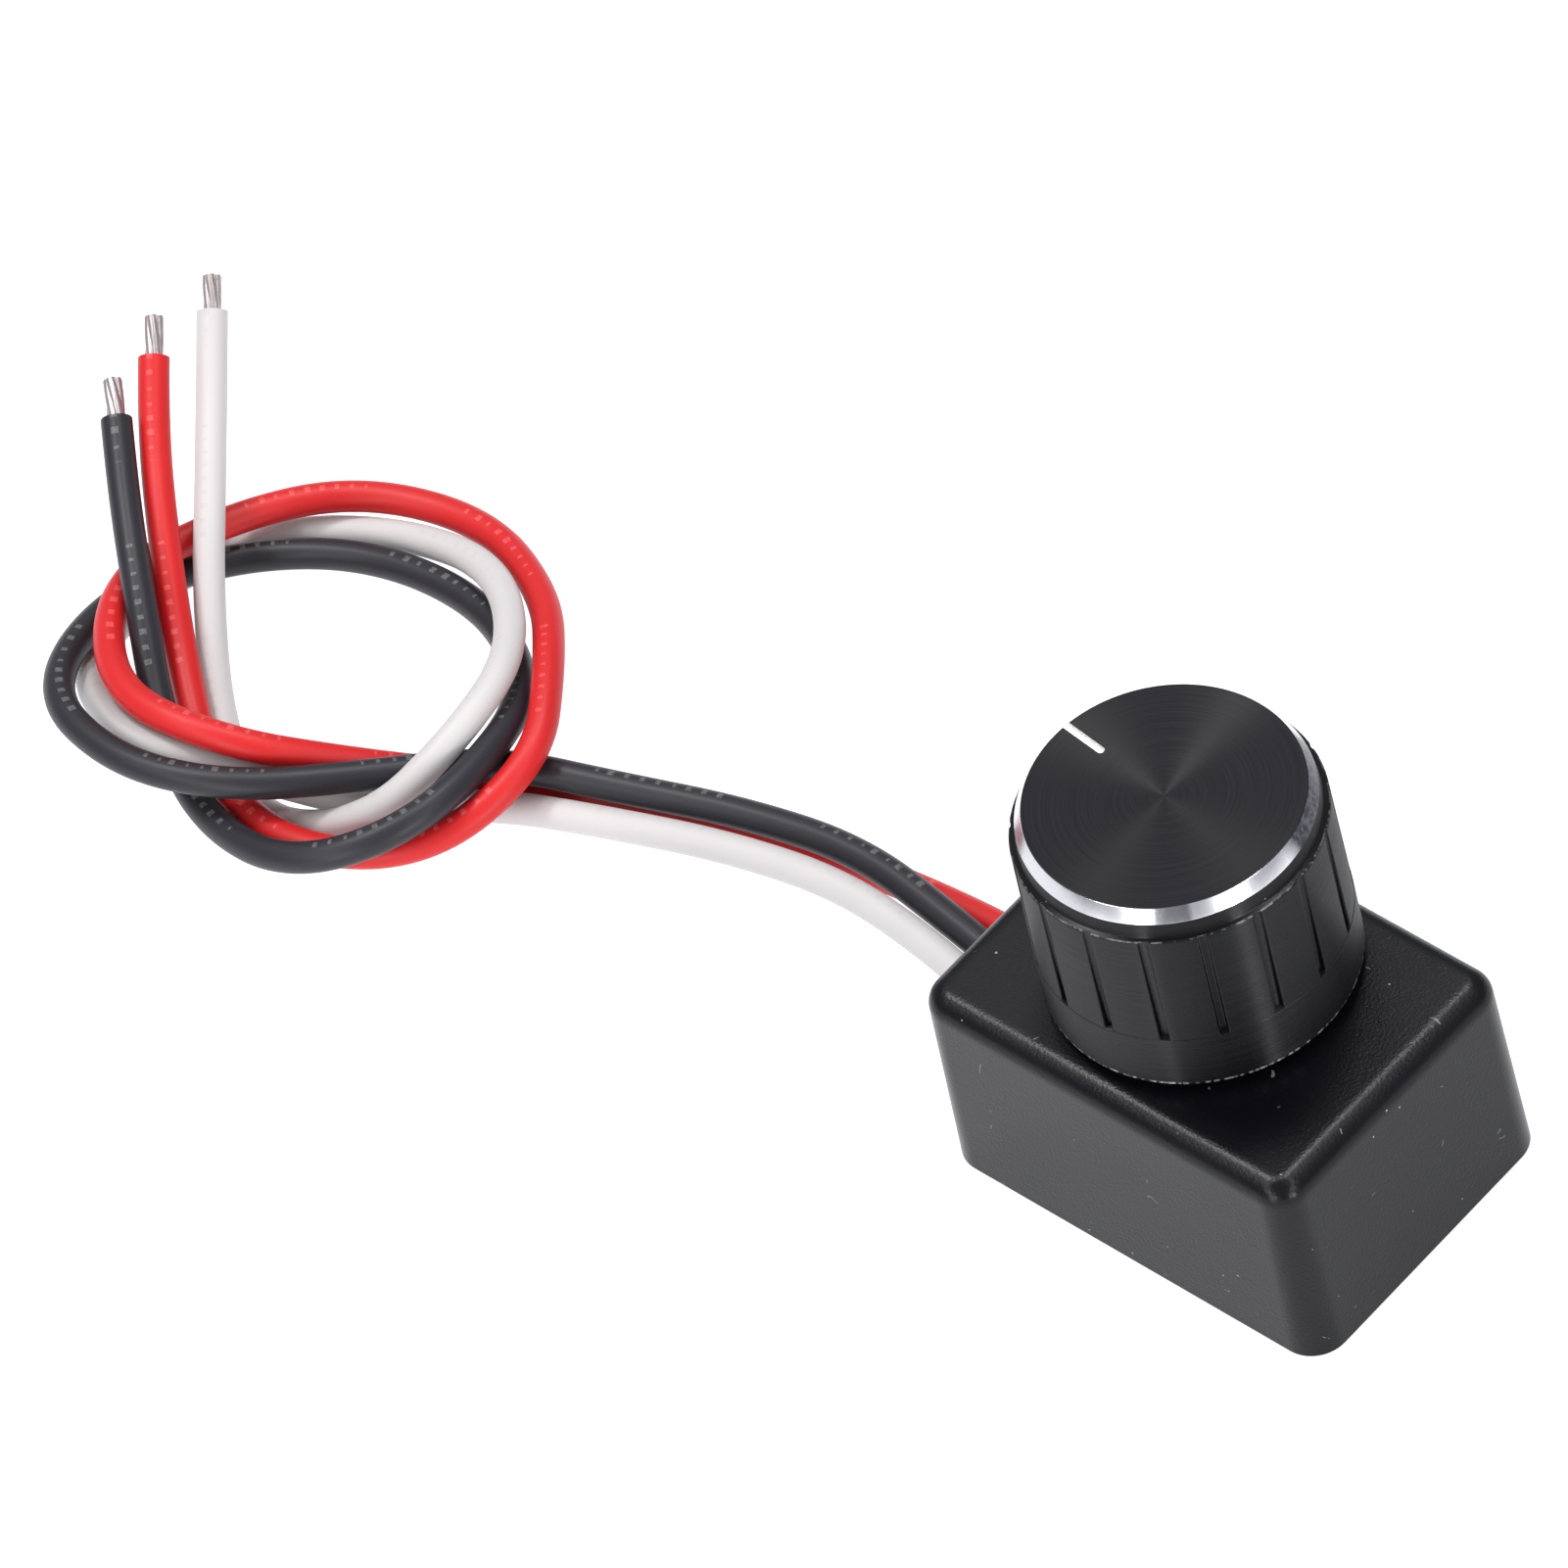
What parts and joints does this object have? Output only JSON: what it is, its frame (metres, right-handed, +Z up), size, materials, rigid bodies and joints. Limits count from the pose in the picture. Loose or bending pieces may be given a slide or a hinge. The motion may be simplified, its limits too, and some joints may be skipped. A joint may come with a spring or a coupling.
{
  "type": "rotary led dimmer",
  "caption": "Small in-line rotary dimmer: black moulded box, slotted black metal knob with a bright rim, and loose red, black and white leads tied in a knot.",
  "frame": {"origin": "middle of the box's underside", "axes": "+Z up along the knob's axis, X along the box's long side with the leads leaving towards -X, Y across the box"},
  "size_m": [0.1122, 0.0318, 0.0322],
  "materials": {
    "case_black": "fine moulded texture",
    "board_green": "solder mask",
    "moulded_brown": "moulded",
    "plated_steel": "nickel plated",
    "bare_aluminium": "turned",
    "spring_brass": "bare",
    "black_anodised": "black anodised, bright cut rim",
    "core_black": "moulded",
    "chip_black": "moulded",
    "ceramic_tan": "fired",
    "silicone_black": "satin silicone",
    "silicone_white": "satin silicone",
    "silicone_red": "satin silicone",
    "tinned_metal": "tinned strands"
  },
  "bodies": {
    "case": {"enclosure": "case_black", "base_cover": "case_black", "circuit_board": "board_green", "pot_housing": "moulded_brown", "pot_element": "moulded_brown", "pot_terminal_1": "tinned_metal", "pot_terminal_2": "tinned_metal", "pot_terminal_3": "tinned_metal", "pot_bushing": "plated_steel", "pot_washer": "plated_steel", "pot_nut": "plated_steel", "timer_chip": "chip_black", "filter_capacitor": "bare_aluminium", "power_transistor": "chip_black", "regulator": "chip_black", "diode": "chip_black", "resistor_1": "chip_black", "resistor_2": "chip_black", "resistor_3": "chip_black", "ceramic_1": "ceramic_tan", "ceramic_2": "ceramic_tan", "ceramic_3": "ceramic_tan", "black_wire": "silicone_black", "white_wire": "silicone_white", "red_wire": "silicone_red", "black_strands": "tinned_metal", "white_strands": "tinned_metal", "red_strands": "tinned_metal", "black_solder": "tinned_metal", "white_solder": "tinned_metal", "red_solder": "tinned_metal"},
    "knob": {"knob_shell": "black_anodised", "knob_insert": "core_black", "pot_shaft": "bare_aluminium", "pot_rotor": "moulded_brown", "pot_wiper": "spring_brass"}
  },
  "joints": [
    {"name": "knob_turn", "type": "hinge", "parent": "case", "child": "knob", "pos_m": [-0.0009, 0.00098, 0], "axis": [0, 0, 1], "range_deg": [-134, 146]}
  ]
}
